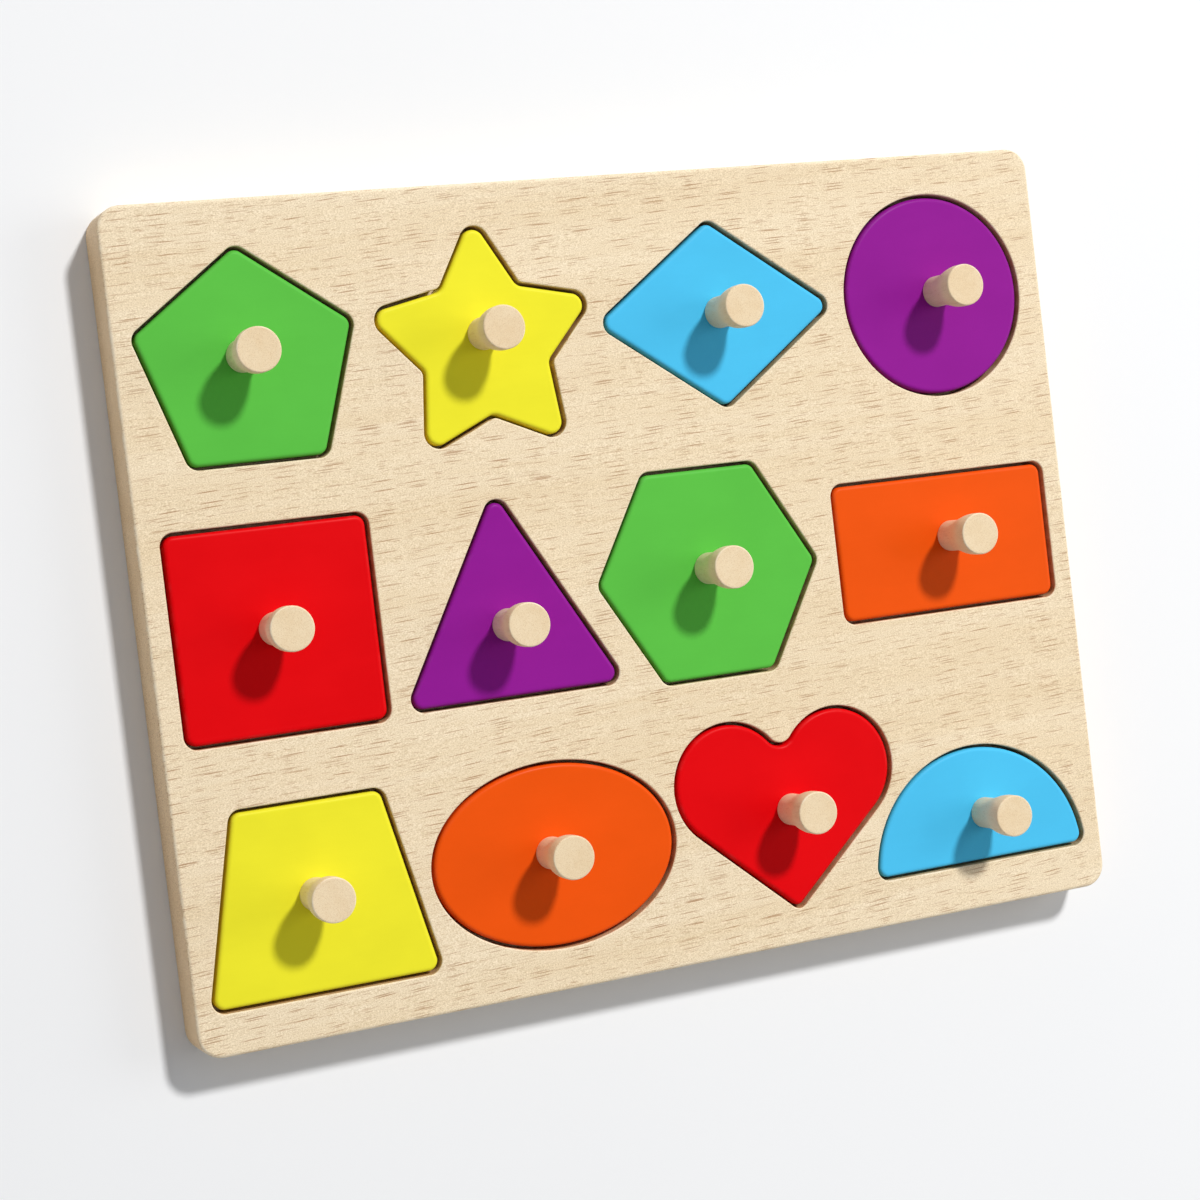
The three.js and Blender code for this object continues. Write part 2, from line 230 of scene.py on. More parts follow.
# Sheen and relief of the finishes, all as shares except the relief's depth in metres
WOOD_ROUGHNESS = (0.50, 0.62)
FLECK_ROUGHNESS = 0.06
WOOD_SHEEN = 0.25
WOOD_RELIEF = 0.25
FIBRE_RELIEF = 0.6
FLECK_RELIEF = -0.4
PAINT_ROUGHNESS = (0.34, 0.42)
PAINT_SHEEN = 0.07
PAINT_RELIEF = 0.12
RELIEF_DEPTH = 0.0002


def linear(screen):
    """A screen colour of three values up to 255 as linear light, with full alpha."""
    value = np.array(screen) / 255.0
    low = value / 12.92
    high = ((value + 0.055) / 1.055) ** 2.4
    return (*np.where(value <= 0.04045, low, high).tolist(), 1.0)


# Outlines: chains of arcs (centre x, centre y, radius, start angle, sweep) joined by straight lines


def unit(vectors):
    """Each row divided by its length."""
    return vectors / np.linalg.norm(vectors, axis=1, keepdims=True)


def corner_arcs(corners):
    """Rounds a polygon listed anticlockwise as rows of (x, y, radius).

    Each corner's circle touches both of its sides: its centre lies along the sum of the two sides'
    normals, inside where the corner juts out and outside where it juts in. The arc turns from one
    side's normal to the next.
    """
    corners = np.asarray(corners, dtype=float)
    place = corners[:, :2]
    radius = corners[:, 2]
    into = unit(place - np.roll(place, 1, axis=0))
    out = np.roll(into, -1, axis=0)
    side = np.sign(into[:, 0] * out[:, 1] - into[:, 1] * out[:, 0])
    normals = np.stack([into[:, 1] + out[:, 1], -into[:, 0] - out[:, 0]], axis=1)
    reach = -side * radius / (1 + np.sum(into * out, axis=1))
    centre = place + normals * reach[:, None]
    start = np.arctan2(-into[:, 0] * side, into[:, 1] * side)
    end = np.arctan2(-out[:, 0] * side, out[:, 1] * side)
    turn = np.mod((end - start) * side, 2 * np.pi) * side
    return np.column_stack([centre, radius, start, turn])


def regular_corners(count, radius, first_angle, round_radius):
    """Corners evenly round a circle, the first at the given angle."""
    angle = first_angle + 2 * np.pi * np.arange(count) / count
    rounds = np.full(count, round_radius)
    return np.column_stack([radius * np.cos(angle), radius * np.sin(angle), rounds])


def box_corners(length, height, round_radius):
    """Corners of an upright rectangle about its middle."""
    x, y, radius = length / 2, height / 2, round_radius
    return [(-x, -y, radius), (x, -y, radius), (x, y, radius), (-x, y, radius)]


def star_arcs():
    """Corners by turns on the outer and the inner circle, the first pointing up."""
    corners = regular_corners(2 * STAR_POINTS, 1.0, np.pi / 2, STAR_POINT_ROUND)
    corners[0::2, :2] *= STAR_POINT_RADIUS
    corners[1::2, :2] *= STAR_INNER_RADIUS
    corners[1::2, 2] = STAR_NOSE_RADIUS + POCKET_GAP
    return corner_arcs(corners)


def heart_arcs():
    """Two lobes, a rounded dip that touches both, and straight sides from the lobes to a point."""
    lobe, offset = HEART_LOBE_RADIUS, HEART_LOBE_OFFSET
    depth, point_round = HEART_POINT_DEPTH, HEART_POINT_ROUND
    slope = math.atan2(offset, depth) + math.asin(lobe / math.hypot(offset, depth))
    dip = HEART_NOSE_RADIUS + POCKET_GAP
    dip_turn = math.pi - math.acos(offset / (lobe + dip))
    dip_height = math.sqrt((lobe + dip) ** 2 - offset**2)
    point_height = point_round / math.sin(slope) - depth
    return np.array([
        (offset, 0, lobe, -slope, dip_turn + slope),
        (0, dip_height, dip, dip_turn - math.pi, math.pi - 2 * dip_turn),
        (-offset, 0, lobe, math.pi - dip_turn, dip_turn + slope),
        (0, point_height, point_round, math.pi + slope, math.pi - 2 * slope),
    ])


def half_disc_arcs():
    """The part of a disc above a flat side, with both corners rounded."""
    radius, corner = SEMICIRCLE_RADIUS, BLOCK_CORNER_RADIUS
    corner_y = SEMICIRCLE_FLAT_RISE + corner
    corner_x = math.sqrt((radius - corner) ** 2 - corner_y**2)
    turn = math.atan2(corner_y, corner_x)
    return np.array([
        (0, 0, radius, turn, math.pi - 2 * turn),
        (-corner_x, corner_y, corner, math.pi - turn, math.pi / 2 + turn),
        (corner_x, corner_y, corner, -math.pi / 2, math.pi / 2 + turn),
    ])


def sampled(x, y, heading):
    """Spreads OUTLINE_POINTS along a closed curve, closer together where it turns.

    x, y and the outward normal's heading are read off at equal steps of length plus CORNER_PULL times
    the turn. Gives the points and the normals.
    """
    x = np.append(x, x[0])
    y = np.append(y, y[0])
    heading = np.unwrap(np.append(heading, heading[0] + 2 * np.pi))
    step = np.hypot(np.diff(x), np.diff(y)) + CORNER_PULL * np.abs(np.diff(heading))
    along = np.concatenate([[0.0], np.cumsum(step)])
    at = np.linspace(0.0, along[-1], OUTLINE_POINTS, endpoint=False)
    turned = np.interp(at, along, heading)
    points = np.column_stack([np.interp(at, along, x), np.interp(at, along, y)])
    return points, np.column_stack([np.cos(turned), np.sin(turned)])


def chain(arcs):
    """Points and normals along a chain of arcs: each point is the centre plus radius times direction.

    The normal is the direction, or its reverse on an arc that bends inwards.
    """
    arcs = np.asarray(arcs, dtype=float)
    share = np.linspace(0.0, 1.0, ARC_STEPS)
    angle = arcs[:, 3:4] + arcs[:, 4:5] * share
    x = arcs[:, 0:1] + arcs[:, 2:3] * np.cos(angle)
    y = arcs[:, 1:2] + arcs[:, 2:3] * np.sin(angle)
    heading = angle + np.where(arcs[:, 4:5] < 0, np.pi, 0.0)
    return sampled(x.ravel(), y.ravel(), heading.ravel())


def oval(length, height):
    """An ellipse, whose normal leans towards its short axis."""
    angle = np.linspace(0.0, 2 * np.pi, OVAL_STEPS, endpoint=False)
    heading = np.arctan2(length * np.sin(angle), height * np.cos(angle))
    return sampled(length / 2 * np.cos(angle), height / 2 * np.sin(angle), heading)


def rhombus_corners():
    """Corners on the two axes."""
    x, y, radius = RHOMBUS_LENGTH / 2, RHOMBUS_HEIGHT / 2, BLOCK_CORNER_RADIUS
    return [(x, 0, radius), (0, y, radius), (-x, 0, radius), (0, -y, radius)]


def triangle_corners():
    """Two corners on the base and one above its middle."""
    x, radius = TRIANGLE_BASE / 2, BLOCK_CORNER_RADIUS
    return [(-x, 0, radius), (x, 0, radius), (0, TRIANGLE_HEIGHT, radius)]


def trapezoid_corners():
    """Two corners on the base and two on the shorter top."""
    low, high, radius = TRAPEZOID_BASE / 2, TRAPEZOID_TOP / 2, BLOCK_CORNER_RADIUS
    top = TRAPEZOID_HEIGHT
    return [(-low, 0, radius), (low, 0, radius), (high, top, radius), (-high, top, radius)]


def pentagon_corners():
    """Even corners, the first pointing up."""
    return regular_corners(PENTAGON_CORNERS, PENTAGON_RADIUS, np.pi / 2, BLOCK_CORNER_RADIUS)


def hexagon_corners():
    """Even corners, the first pointing right."""
    return regular_corners(HEXAGON_CORNERS, HEXAGON_RADIUS, 0.0, BLOCK_CORNER_RADIUS)


def rectangle_corners():
    """The rectangle's upright box."""
    return box_corners(RECTANGLE_LENGTH, RECTANGLE_HEIGHT, BLOCK_CORNER_RADIUS)


OUTLINES = {
    "pentagon": chain(corner_arcs(pentagon_corners())),
    "star": chain(star_arcs()),
    "rhombus": chain(corner_arcs(rhombus_corners())),
    "circle": oval(CIRCLE_DIAMETER, CIRCLE_DIAMETER),
    "square": chain(corner_arcs(box_corners(SQUARE_SIDE, SQUARE_SIDE, BLOCK_CORNER_RADIUS))),
    "triangle": chain(corner_arcs(triangle_corners())),
    "hexagon": chain(corner_arcs(hexagon_corners())),
    "rectangle": chain(corner_arcs(rectangle_corners())),
    "trapezoid": chain(corner_arcs(trapezoid_corners())),
    "oval": oval(OVAL_LENGTH, OVAL_HEIGHT),
    "heart": chain(heart_arcs()),
    "semicircle": chain(half_disc_arcs()),
}
BLOCK_PAINT = {
    "pentagon": "green",
    "star": "yellow",
    "rhombus": "blue",
    "circle": "purple",
    "square": "red",
    "triangle": "purple",
    "hexagon": "green",
    "rectangle": "orange",
    "trapezoid": "yellow",
    "oval": "orange",
    "heart": "red",
    "semicircle": "blue",
}


def node_box(node):
    """A CAD node's lowest and highest corners in millimetres."""
    low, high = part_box(node)
    return np.array(low) / MM, np.array(high) / MM


def placed_outline(name):
    """A block's outline moved so that its box has the same middle as the CAD block's."""
    points, normals = OUTLINES[name]
    low, high = node_box(name + "_block")
    middle = (points.min(axis=0) + points.max(axis=0)) / 2
    return points - middle + (low[:2] + high[:2]) / 2, normals


def peg_axis(name):
    """Where a peg's axis stands."""
    low, high = node_box(name + "_peg")
    return (low[:2] + high[:2]) / 2


# Surfaces


def at_heights(flat, heights):
    """Rings of flat points, each ring raised to its own height."""
    rise = np.broadcast_to(np.asarray(heights, dtype=float)[:, None, None], (*flat.shape[:2], 1))
    return np.concatenate([flat, rise], axis=2)


def carried(points, normals, offsets, heights):
    """A profile carried along an outline: each ring is the outline moved out along its normals."""
    return at_heights(points[None] + np.asarray(offsets)[:, None, None] * normals[None], heights)


def circle_rings(centre, toward, radii, heights):
    """Circles about an upright axis, each point in the direction of the outline's matching point."""
    direction = unit(toward - centre)
    return at_heights(centre + np.asarray(radii)[:, None, None] * direction[None], heights)


def quarter(start, end):
    """Cosines and sines of evenly spaced angles, in degrees."""
    angle = np.radians(np.linspace(start, end, ROUND_STEPS + 1))
    return np.cos(angle), np.sin(angle)


def edge_share(cosines, sines):
    """How much of an edge the points of a quarter circle lie on: none at its ends, all halfway round."""
    return np.abs(2 * cosines * sines)


def ring_faces(rings, count, first=0):
    """Four-sided faces between neighbouring rings, each ring closing on itself."""
    index = first + np.arange(rings * count).reshape(rings, count)
    beside = np.roll(index, -1, axis=1)
    return np.stack([index[:-1], beside[:-1], beside[1:], index[1:]], axis=2).reshape(-1, 4)


def fan_faces(ring, pole, upward):
    """Triangles from a ring to a pole, turned the same way as the rings that they close."""
    beside = np.roll(ring, -1)
    poles = np.full_like(ring, pole)
    order = [ring, beside, poles] if upward else [beside, ring, poles]
    return np.stack(order, axis=1)


def filled_face(vertices, loops):
    """Triangles between the first loop and the loops inside it, all lying in one level plane."""
    order = np.concatenate(loops)
    flat = [Vector(row) for row in vertices[order, :2].tolist()]
    starts = np.cumsum([0] + [len(loop) for loop in loops])
    sheets = [list(range(start, end)) for start, end in zip(starts[:-1], starts[1:])]
    _, _, triangles, sources, _, belongs = delaunay_2d_cdt(flat, [], sheets, 1, FILL_CLOSENESS)
    kept = [corners for corners, owners in zip(triangles, belongs) if list(owners) == [0]]
    back = np.array([source[0] for source in sources])
    return order[back[np.array(kept)]]


def make_piece(name, vertices, faces, material, edge, routed=None):
    """A smooth mesh in metres from points in millimetres.

    Each point keeps how much of an edge it lies on, and on the board whether the cutter made it.
    """
    mesh = bpy.data.meshes.new(name)
    corners = [row for group in faces for row in group.tolist()]
    mesh.from_pydata((vertices * MM).tolist(), [], corners)
    mesh.update()
    mesh.validate()
    mesh.shade_smooth()
    mesh.set_sharp_from_angle(angle=math.radians(SHARP_ANGLE))
    values = mesh.attributes.new("edge", "FLOAT", "POINT")
    values.data.foreach_set("value", edge.astype(np.float32))
    if routed is not None:
        values = mesh.attributes.new("routed", "FLOAT", "POINT")
        values.data.foreach_set("value", routed.astype(np.float32))
    mesh.materials.append(material)
    piece = bpy.data.objects.new(name, mesh)
    bpy.context.scene.collection.objects.link(piece)
    return piece


def slab_profile(bottom, top, curve):
    """A slab's side from under its lower edge to above its upper one, both rounded by a quarter circle.

    Gives the offsets from the outline, the heights, and how much of an edge each ring lies on.
    """
    lead = [-curve - FLAT_LEAD]
    down_cos, down_sin = quarter(-90, 0)
    up_cos, up_sin = quarter(0, 90)
    offsets = np.concatenate([lead, curve * (down_cos - 1), curve * (up_cos - 1), lead])
    low, high = bottom + curve * (1 + down_sin), top - curve * (1 - up_sin)
    heights = np.concatenate([[bottom], low, high, [top]])
    edge = np.concatenate([[0.0], edge_share(down_cos, down_sin), edge_share(up_cos, up_sin), [0.0]])
    return offsets, heights, edge


def block_piece(name, material):
    """A painted block: a closed profile carried round its outline, with a blind hole for the peg.

    The rings run from the middle of the underside, round the lower edge, up the side, round the upper
    edge, across the top to the hole, and down the hole to its bottom.
    """
    points, normals = placed_outline(name)
    axis = peg_axis(name)
    low, high = node_box(name + "_block")
    floor, top = low[2], high[2]
    offsets, heights, edge = slab_profile(floor, top, BLOCK_EDGE_ROUND)
    rim = [TENON_HOLE_RADIUS] * 2
    rings = np.concatenate([
        carried(points, normals, offsets, heights),
        circle_rings(axis, points, rim, [top, top - TENON_HOLE_DEPTH]),
    ])
    poles = np.array([(*axis, floor), (*axis, top - TENON_HOLE_DEPTH)])
    count = len(points)
    last = len(rings) * count
    vertices = np.concatenate([rings.reshape(-1, 3), poles])
    faces = [
        ring_faces(len(rings), count),
        fan_faces(np.arange(count), last, upward=False),
        fan_faces(np.arange(last - count, last), last + 1, upward=True),
    ]
    edge = np.concatenate([np.repeat(np.append(edge, [0.0, 0.0]), count), [0.0, 0.0]])
    return make_piece(name + "_painted_block", vertices, faces, material, edge)


def peg_piece(name, material):
    """A turned peg, its profile turned about its axis.

    The profile goes from the tenon's end out over the shoulder, straight up the stem, out along half a
    cosine wave, up the head's band, round its rim and in over the flat top.
    """
    axis = peg_axis(name)
    top = node_box(name + "_peg")[1][2]
    foot = top - PEG_HEIGHT
    down_cos, down_sin = quarter(-90, 0)
    up_cos, up_sin = quarter(0, 90)
    share = np.linspace(0.0, 1.0, FLARE_STEPS + 1)
    flare = PEG_STEM_RADIUS + (PEG_HEAD_RADIUS - PEG_STEM_RADIUS) * (1 - np.cos(np.pi * share)) / 2
    flare_height = PEG_HEIGHT - PEG_BAND_HEIGHT - PEG_STEM_LENGTH
    tenon_end = foot - TENON_LENGTH
    radii = np.concatenate([
        [TENON_RADIUS, TENON_RADIUS],
        PEG_STEM_RADIUS + PEG_FOOT_ROUND * (down_cos - 1),
        flare,
        PEG_HEAD_RADIUS + PEG_RIM_ROUND * (up_cos - 1),
        [PEG_HEAD_RADIUS - PEG_RIM_ROUND - FLAT_LEAD],
    ])
    heights = np.concatenate([
        [tenon_end, foot],
        foot + PEG_FOOT_ROUND * (1 + down_sin),
        foot + PEG_STEM_LENGTH + flare_height * share,
        top - PEG_RIM_ROUND * (1 - up_sin),
        [top],
    ])
    edge = np.zeros(len(radii))
    edge[-ROUND_STEPS - 2:-1] = edge_share(up_cos, up_sin)
    turn = np.linspace(0.0, 2 * np.pi, PEG_SIDES, endpoint=False)
    toward = axis + np.column_stack([np.cos(turn), np.sin(turn)])
    rings = circle_rings(axis, toward, radii, heights)
    poles = np.array([(*axis, tenon_end), (*axis, top)])
    last = len(rings) * PEG_SIDES
    vertices = np.concatenate([rings.reshape(-1, 3), poles])
    faces = [
        ring_faces(len(rings), PEG_SIDES),
        fan_faces(np.arange(PEG_SIDES), last, upward=False),
        fan_faces(np.arange(last - PEG_SIDES, last), last + 1, upward=True),
    ]
    edge = np.concatenate([np.repeat(edge, PEG_SIDES), [0.0, 0.0]])
    return make_piece(name + "_turned_peg", vertices, faces, material, edge)


def board_piece(material):
    """The board: a rounded slab carried round its outline, and pockets carried round the blocks' outlines.

    The face is filled between the slab's upper edge and the pockets' lips.
    """
    low, high = node_box("board")
    size = high - low
    back, face = low[2], high[2]
    points, normals = chain(corner_arcs(box_corners(size[0], size[1], BOARD_CORNER_RADIUS)))
    middle = (low[:2] + high[:2]) / 2
    points = points + middle
    offsets, heights, slab_edge = slab_profile(back, face, BOARD_EDGE_ROUND)
    slab = carried(points, normals, offsets, heights)
    count = len(points)
    total = len(slab) * count
    vertices = [slab.reshape(-1, 3), np.array([(*middle, back)])]
    edges = [np.repeat(slab_edge, count), [0.0]]
    faces = [ring_faces(len(slab), count), fan_faces(np.arange(count), total, upward=False)]
    loops = [np.arange(total - count, total)]
    total += 1
    routed = [np.zeros(total)]

    lip, foot = POCKET_LIP_ROUND, POCKET_FOOT_ROUND
    up_cos, up_sin = quarter(0, 90)
    for name in OUTLINES:
        points, normals = placed_outline(name)
        floor = node_box(name + "_block")[0][2]
        centre = peg_axis(name)
        offsets = POCKET_GAP + np.concatenate([
            [lip + POCKET_LIP_LEAD],
            lip * (1 - up_sin),
            -foot * (1 - up_cos),
            [-foot - FLAT_LEAD],
        ])
        heights = np.concatenate([
            [face],
            face - lip * (1 - up_cos),
            floor + foot * (1 - up_sin),
            [floor],
        ])
        pocket_edge = np.concatenate([[0.0], edge_share(up_cos, up_sin), np.zeros(ROUND_STEPS + 2)])
        pocket = carried(points, normals, offsets, heights)
        pole = total + len(pocket) * count
        vertices += [pocket.reshape(-1, 3), np.array([(*centre, floor)])]
        edges += [np.repeat(pocket_edge, count), [0.0]]
        pocket_cut = np.ones(len(pocket))
        pocket_cut[:ROUND_STEPS] = 0.0
        routed += [np.repeat(pocket_cut, count), [1.0]]
        faces += [
            ring_faces(len(pocket), count, total),
            fan_faces(np.arange(pole - count, pole), pole, upward=True),
        ]
        loops.append(np.arange(total, total + count))
        total = pole + 1

    vertices = np.concatenate(vertices)
    faces.append(filled_face(vertices, loops))
    edge = np.concatenate(edges)
    return make_piece("routed_board", vertices, faces, material, edge, np.concatenate(routed))


# Finishes


def new_group(name, inputs, outputs):
    """An empty shader node group with the given sockets. Gives its tree and its input and output nodes."""
    tree = bpy.data.node_groups.new(name, "ShaderNodeTree")
    for label, kind in inputs:
        tree.interface.new_socket(label, in_out="INPUT", socket_type=kind)
    for label, kind in outputs:
        tree.interface.new_socket(label, in_out="OUTPUT", socket_type=kind)
    return tree, tree.nodes.new("NodeGroupInput"), tree.nodes.new("NodeGroupOutput")


def feed(tree, node, links):
    """Gives a node's inputs links from other sockets, or plain values."""
    for key, value in links.items():
        socket = node.inputs[key]
        if isinstance(value, bpy.types.NodeSocket):
            tree.links.new(value, socket)
        else:
            socket.default_value = value


def put(tree, kind, links=None, **settings):
    """A node with its settings and what its inputs are fed with."""
    node = tree.nodes.new(kind)
    for key, value in settings.items():
        setattr(node, key, value)
    feed(tree, node, links or {})
    return node


def place(tree, group, links):
    """A node group in a material's tree, with what its inputs are fed with. Gives its outputs."""
    return put(tree, "ShaderNodeGroup", links, node_tree=group).outputs


def stretched_noise(tree, vector, scale, detail=2.0, rough=0.5, distort=0.0):
    """Noise on coordinates stretched by three scales, in cycles per metre."""
    mapping = put(tree, "ShaderNodeMapping", {"Vector": vector, "Scale": scale})
    noise = put(tree, "ShaderNodeTexNoise", {
        "Vector": mapping.outputs["Vector"], "Scale": 1.0,
        "Detail": detail, "Roughness": rough, "Distortion": distort,
    })
    return noise.outputs["Fac"]


def ranged(tree, value, low, high, to_low=0.0, to_high=1.0, smooth=True):
    """A value's stretch from low to high brought to another stretch, and held at its ends."""
    kind = "SMOOTHSTEP" if smooth else "LINEAR"
    node = put(tree, "ShaderNodeMapRange", {
        "Value": value, "From Min": low, "From Max": high, "To Min": to_low, "To Max": to_high,
    }, interpolation_type=kind)
    return node.outputs["Result"]


def maths(tree, operation, first, second=0.0):
    """One sum on two values."""
    return put(tree, "ShaderNodeMath", {0: first, 1: second}, operation=operation).outputs[0]


def weighed(tree, first, first_share, second, second_share):
    """Two values added up, each times its share."""
    first = maths(tree, "MULTIPLY", first, first_share)
    return maths(tree, "ADD", first, maths(tree, "MULTIPLY", second, second_share))


def mixed(tree, share, first, second, blend="MIX"):
    """Two colours mixed by a share. Inputs 6 and 7 are the Mix node's colours, and output 2 their mix."""
    ends = {0: share, 6: first, 7: second}
    return put(tree, "ShaderNodeMix", ends, data_type="RGBA", blend_type=blend).outputs[2]


def flecks(tree, vector, scale, wide, kept):
    """Short dashes along the grain: spots round the middles of a share of stretched cells."""
    mapping = put(tree, "ShaderNodeMapping", {"Vector": vector, "Scale": scale})
    cells = put(tree, "ShaderNodeTexVoronoi", {"Vector": mapping.outputs["Vector"], "Scale": 1.0})
    spot = ranged(tree, cells.outputs["Distance"], wide * FLECK_CORE, wide, 1.0, 0.0)
    chosen = put(tree, "ShaderNodeSeparateColor", {"Color": cells.outputs["Color"]}).outputs[0]
    strength = ranged(tree, chosen, 1.0 - kept, 1.0)
    return maths(tree, "MULTIPLY", spot, strength)


FINISH_OUTPUTS = [
    ("Color", "NodeSocketColor"),
    ("Height", "NodeSocketFloat"),
    ("Roughness", "NodeSocketFloat"),
]


def beech_group():
    """Beech along the first axis: wide tone bands, fine fibres and short brown flecks."""
    tree, given, result = new_group(
        "beech_grain",
        [("Vector", "NodeSocketVector"), ("Pale", "NodeSocketColor"), ("Deep", "NodeSocketColor"),
         ("Fleck", "NodeSocketColor"), ("Fleck Strength", "NodeSocketFloat"),
         ("Stipple", "NodeSocketFloat")],
        FINISH_OUTPUTS,
    )
    straight = given.outputs["Vector"]
    sway = maths(tree, "SUBTRACT", stretched_noise(tree, straight, GRAIN_SWAY), NOISE_MIDDLE)
    across, up = maths(tree, "MULTIPLY", sway, SWAY_ACROSS), maths(tree, "MULTIPLY", sway, SWAY_UP)
    lift = put(tree, "ShaderNodeCombineXYZ", {"Y": across, "Z": up}).outputs[0]
    vector = put(tree, "ShaderNodeVectorMath", {0: straight, 1: lift}, operation="ADD").outputs[0]
    bands = stretched_noise(tree, vector, GRAIN_BANDS, detail=3.0, rough=0.55, distort=0.4)
    bands = ranged(tree, bands, *BANDS_STRETCH)
    streaks = ranged(tree, stretched_noise(tree, vector, GRAIN_STREAKS), *STREAKS_STRETCH)
    fibres = stretched_noise(tree, vector, GRAIN_FIBRES, rough=0.6)
    stipple = stretched_noise(tree, vector, GRAIN_STIPPLE, detail=1.0)
    tone = weighed(tree, bands, BANDS_SHARE, streaks, STREAKS_SHARE)
    tone = weighed(tree, tone, 1.0, fibres, FIBRES_SHARE)
    wood = mixed(tree, tone, given.outputs["Pale"], given.outputs["Deep"])
    depth = np.array(STIPPLE_DEPTH)
    lighter, darker = (*(1 + depth).tolist(), 1.0), (*(1 - depth).tolist(), 1.0)
    shade = mixed(tree, ranged(tree, stipple, *STIPPLE_STRETCH, smooth=False), lighter, darker)
    wood = mixed(tree, given.outputs["Stipple"], wood, shade, "MULTIPLY")
    long_flecks = flecks(tree, vector, LONG_FLECKS, LONG_FLECK_WIDTH, LONG_FLECKS_KEPT)
    short_flecks = flecks(tree, vector, SHORT_FLECKS, SHORT_FLECK_WIDTH, SHORT_FLECKS_KEPT)
    spots = maths(tree, "MAXIMUM", long_flecks, maths(tree, "MULTIPLY", short_flecks, SHORT_FLECK_SHARE))
    share = maths(tree, "MULTIPLY", spots, given.outputs["Fleck Strength"])
    wood = mixed(tree, share, wood, given.outputs["Fleck"])
    height = weighed(tree, fibres, FIBRE_RELIEF, spots, FLECK_RELIEF)
    rough = ranged(tree, fibres, *MIDDLE_STRETCH, *WOOD_ROUGHNESS)
    rough = weighed(tree, rough, 1.0, spots, FLECK_ROUGHNESS)
    feed(tree, result, {"Color": wood, "Height": height, "Roughness": rough})
    return tree


def wear_and_highlight_group():
    """Rubbed edges, on beech with a painted highlight as well: the edge value broken up by fine noise."""
    tree, given, result = new_group(
        "rubbed_and_highlit_edges",
        [("Vector", "NodeSocketVector"), ("Edge", "NodeSocketFloat")],
        [("Mask", "NodeSocketFloat")],
    )
    patches = stretched_noise(tree, given.outputs["Vector"], RUBBED_HIGHLIGHT_PATCHES, detail=3.0, rough=0.65)
    worn = ranged(tree, patches, *RUBBED_HIGHLIGHT_STRETCH)
    mask = maths(tree, "MULTIPLY", given.outputs["Edge"], worn)
    feed(tree, result, {"Mask": mask})
    return tree


def paint_group():
    """Satin paint over wood: faint cloudiness, the grain showing through, and fine roller marks."""
    tree, given, result = new_group(
        "paint_film",
        [("Vector", "NodeSocketVector"), ("Thick", "NodeSocketColor"), ("Thin", "NodeSocketColor")],
        FINISH_OUTPUTS,
    )
    vector = given.outputs["Vector"]
    clouds = stretched_noise(tree, vector, PAINT_CLOUDS, detail=3.0, rough=0.55)
    grain = stretched_noise(tree, vector, PAINT_GRAIN, rough=0.6)
    roller = stretched_noise(tree, vector, PAINT_ROLLER, detail=1.0)
    cloudy = ranged(tree, clouds, *MIDDLE_STRETCH)
    cover = weighed(tree, cloudy, PAINT_CLOUDINESS, grain, 1.0 - PAINT_CLOUDINESS)
    color = mixed(tree, cover, given.outputs["Thick"], given.outputs["Thin"])
    height = weighed(tree, grain, 0.5, roller, 0.5)
    rough = ranged(tree, clouds, *MIDDLE_STRETCH, *PAINT_ROUGHNESS)
    feed(tree, result, {"Color": color, "Height": height, "Roughness": rough})
    return tree


def cutter_marks_and_shade_group():
    """Routed wood: a bare, slightly darker tone on the floor and a much darker one on the wall, both painted
    shade in the pockets, and the cutter's ridges.
    """
    tree, given, result = new_group(
        "cutter_marks_and_pocket_shade",
        [("Vector", "NodeSocketVector"), ("Routed", "NodeSocketFloat"),
         ("Wall", "NodeSocketFloat")],
        [("Pocket Shade", "NodeSocketColor"), ("Height", "NodeSocketFloat")],
    )
    passes = put(tree, "ShaderNodeTexWave", {
        "Vector": given.outputs["Vector"], "Scale": CUTTER_PITCH,
        "Distortion": CUTTER_BEND, "Detail": 1.0, "Detail Scale": CUTTER_BEND_SCALE,
    }, bands_direction="Y").outputs["Fac"]
    routed = given.outputs["Routed"]
    ridge = maths(tree, "MULTIPLY", passes, routed)
    share = maths(tree, "MULTIPLY", routed, ranged(tree, passes, 0.0, 1.0, CUTTER_FAINTEST, 1.0))
    # Painted shade: the wall darker than the floor, running from its faintest share to full across the
    # cutter's ridges
    tone = mixed(tree, given.outputs["Wall"], POCKET_FLOOR_SHADE, POCKET_WALL_SHADE)
    tone = mixed(tree, share, WHITE, tone)
    feed(tree, result, {"Pocket Shade": tone, "Height": ridge})
    return tree


BEECH = beech_group()
WEAR_AND_HIGHLIGHT = wear_and_highlight_group()
PAINT = paint_group()
POCKET_MARKS_AND_SHADE = cutter_marks_and_shade_group()


def new_finish(name):
    """A material with its own node tree. Gives it with its tree, shader and Object coordinates."""
    material = bpy.data.materials.new(name)
    material.use_nodes = True
    tree = material.node_tree
    shader = tree.nodes["Principled BSDF"]
    coords = tree.nodes.new("ShaderNodeTexCoord").outputs["Object"]
    return material, tree, shader, coords


def bumped(tree, height, strength):
    """The normal that a height gives."""
    bump = put(tree, "ShaderNodeBump", {"Height": height, "Distance": RELIEF_DEPTH, "Strength": strength})
    return bump.outputs["Normal"]


def own_value(tree, attribute):
    """What the piece's points keep under a name, or none where the piece has no such values."""
    return put(tree, "ShaderNodeAttribute", attribute_name=attribute).outputs["Fac"]


